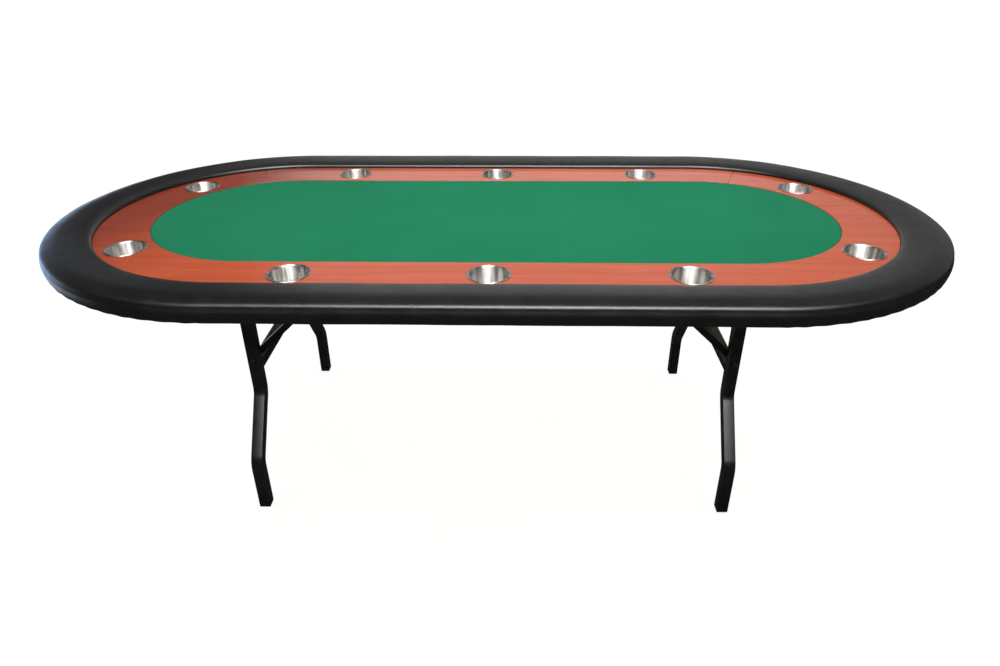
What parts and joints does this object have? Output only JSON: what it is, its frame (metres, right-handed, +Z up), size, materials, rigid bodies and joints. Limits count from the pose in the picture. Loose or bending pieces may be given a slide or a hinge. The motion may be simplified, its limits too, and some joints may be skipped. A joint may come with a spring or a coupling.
{
  "type": "poker table",
  "caption": "Oval folding card table with a padded rail, lacquered racetrack, drop-in cup holders, cloth playing surface and two hinged tube leg frames held by knuckle braces.",
  "frame": {"origin": "on the floor under the middle of the table", "axes": "+X along the table's length, +Y to its back, +Z up"},
  "size_m": [2.397, 1.1682, 0.761],
  "materials": {
    "plywood": "raw birch plywood",
    "racetrack_lacquer": "red mahogany veneer under high-gloss lacquer",
    "cloth": "green speed cloth, fine weave",
    "foam": "open-cell foam",
    "vinyl": "black pebbled vinyl, semi-gloss",
    "cup_steel": "drawn stainless steel, brushed wall and polished rim",
    "leg_steel": "black powder coat",
    "foot_plastic": "black moulded plastic",
    "fastener_steel": "black oxide steel"
  },
  "bodies": {
    "table_top": {"brace_anchor_screws": "fastener_steel", "deck_board": "plywood", "left_anchor_rivets": "fastener_steel", "left_front_brace_anchor": "leg_steel", "left_front_leg_saddle": "leg_steel", "left_rear_brace_anchor": "leg_steel", "left_rear_leg_saddle": "leg_steel", "leg_saddle_screws": "fastener_steel", "playing_cloth": "cloth", "playing_foam": "foam", "racetrack_back": "racetrack_lacquer", "racetrack_front": "racetrack_lacquer", "racetrack_left": "racetrack_lacquer", "racetrack_right": "racetrack_lacquer", "rail_cover": "vinyl", "rail_foam": "foam", "rail_frame": "plywood", "rail_screws": "fastener_steel", "right_anchor_rivets": "fastener_steel", "right_front_brace_anchor": "leg_steel", "right_front_leg_saddle": "leg_steel", "right_rear_brace_anchor": "leg_steel", "right_rear_leg_saddle": "leg_steel"},
    "left_legs": {"left_brace_bolts": "fastener_steel", "left_crossbar": "leg_steel", "left_front_foot_cap": "foot_plastic", "left_front_leg": "leg_steel", "left_pivot_tube": "leg_steel", "left_rear_foot_cap": "foot_plastic", "left_rear_leg": "leg_steel"},
    "left_lower_braces": {"left_front_lower_brace": "leg_steel", "left_knuckle_rivets": "fastener_steel", "left_rear_lower_brace": "leg_steel"},
    "left_upper_braces": {"left_front_upper_brace": "leg_steel", "left_rear_upper_brace": "leg_steel"},
    "right_legs": {"right_brace_bolts": "fastener_steel", "right_crossbar": "leg_steel", "right_front_foot_cap": "foot_plastic", "right_front_leg": "leg_steel", "right_pivot_tube": "leg_steel", "right_rear_foot_cap": "foot_plastic", "right_rear_leg": "leg_steel"},
    "right_lower_braces": {"right_front_lower_brace": "leg_steel", "right_knuckle_rivets": "fastener_steel", "right_rear_lower_brace": "leg_steel"},
    "right_upper_braces": {"right_front_upper_brace": "leg_steel", "right_rear_upper_brace": "leg_steel"},
    "cup_front_left": {"cup_front_left": "cup_steel"},
    "cup_front_left_end": {"cup_front_left_end": "cup_steel"},
    "cup_front_middle": {"cup_front_middle": "cup_steel"},
    "cup_front_right": {"cup_front_right": "cup_steel"},
    "cup_front_right_end": {"cup_front_right_end": "cup_steel"},
    "cup_rear_left": {"cup_rear_left": "cup_steel"},
    "cup_rear_left_end": {"cup_rear_left_end": "cup_steel"},
    "cup_rear_middle": {"cup_rear_middle": "cup_steel"},
    "cup_rear_right": {"cup_rear_right": "cup_steel"},
    "cup_rear_right_end": {"cup_rear_right_end": "cup_steel"}
  },
  "joints": [
    {"name": "left_legs_fold", "type": "hinge", "parent": "table_top", "child": "left_legs", "pos_m": [-0.648, 0, 0.692], "axis": [0, -1, 0], "range_deg": [0, 86.5]},
    {"name": "left_upper_braces_fold", "type": "hinge", "parent": "table_top", "child": "left_upper_braces", "pos_m": [-0.35, 0, 0.701], "axis": [0, 1, 0], "range_deg": [0, 40.9]},
    {"name": "left_lower_braces_fold", "type": "hinge", "parent": "left_legs", "child": "left_lower_braces", "pos_m": [-0.648, 0, 0.424], "axis": [0, -1, 0], "range_deg": [0, 45.4]},
    {"name": "right_legs_fold", "type": "hinge", "parent": "table_top", "child": "right_legs", "pos_m": [0.648, 0, 0.692], "axis": [0, 1, 0], "range_deg": [0, 82.5]},
    {"name": "right_upper_braces_fold", "type": "hinge", "parent": "table_top", "child": "right_upper_braces", "pos_m": [0.35, 0, 0.701], "axis": [0, -1, 0], "range_deg": [0, 39.9]},
    {"name": "right_lower_braces_fold", "type": "hinge", "parent": "right_legs", "child": "right_lower_braces", "pos_m": [0.648, 0, 0.424], "axis": [0, 1, 0], "range_deg": [0, 44.9]},
    {"name": "cup_front_left_lift", "type": "slide", "parent": "table_top", "child": "cup_front_left", "axis": [0, 0, 1], "range_m": [0, 0.09]},
    {"name": "cup_front_left_end_lift", "type": "slide", "parent": "table_top", "child": "cup_front_left_end", "axis": [0, 0, 1], "range_m": [0, 0.09]},
    {"name": "cup_front_middle_lift", "type": "slide", "parent": "table_top", "child": "cup_front_middle", "axis": [0, 0, 1], "range_m": [0, 0.09]},
    {"name": "cup_front_right_lift", "type": "slide", "parent": "table_top", "child": "cup_front_right", "axis": [0, 0, 1], "range_m": [0, 0.09]},
    {"name": "cup_front_right_end_lift", "type": "slide", "parent": "table_top", "child": "cup_front_right_end", "axis": [0, 0, 1], "range_m": [0, 0.09]},
    {"name": "cup_rear_left_lift", "type": "slide", "parent": "table_top", "child": "cup_rear_left", "axis": [0, 0, 1], "range_m": [0, 0.09]},
    {"name": "cup_rear_left_end_lift", "type": "slide", "parent": "table_top", "child": "cup_rear_left_end", "axis": [0, 0, 1], "range_m": [0, 0.09]},
    {"name": "cup_rear_middle_lift", "type": "slide", "parent": "table_top", "child": "cup_rear_middle", "axis": [0, 0, 1], "range_m": [0, 0.09]},
    {"name": "cup_rear_right_lift", "type": "slide", "parent": "table_top", "child": "cup_rear_right", "axis": [0, 0, 1], "range_m": [0, 0.09]},
    {"name": "cup_rear_right_end_lift", "type": "slide", "parent": "table_top", "child": "cup_rear_right_end", "axis": [0, 0, 1], "range_m": [0, 0.09]}
  ],
  "couplings": [
    {"joint": "left_upper_braces_fold", "follows": "left_legs_fold", "ratio": 0.47149},
    {"joint": "left_lower_braces_fold", "follows": "left_legs_fold", "ratio": 0.52411},
    {"joint": "right_upper_braces_fold", "follows": "right_legs_fold", "ratio": 0.48237},
    {"joint": "right_lower_braces_fold", "follows": "right_legs_fold", "ratio": 0.54278}
  ]
}
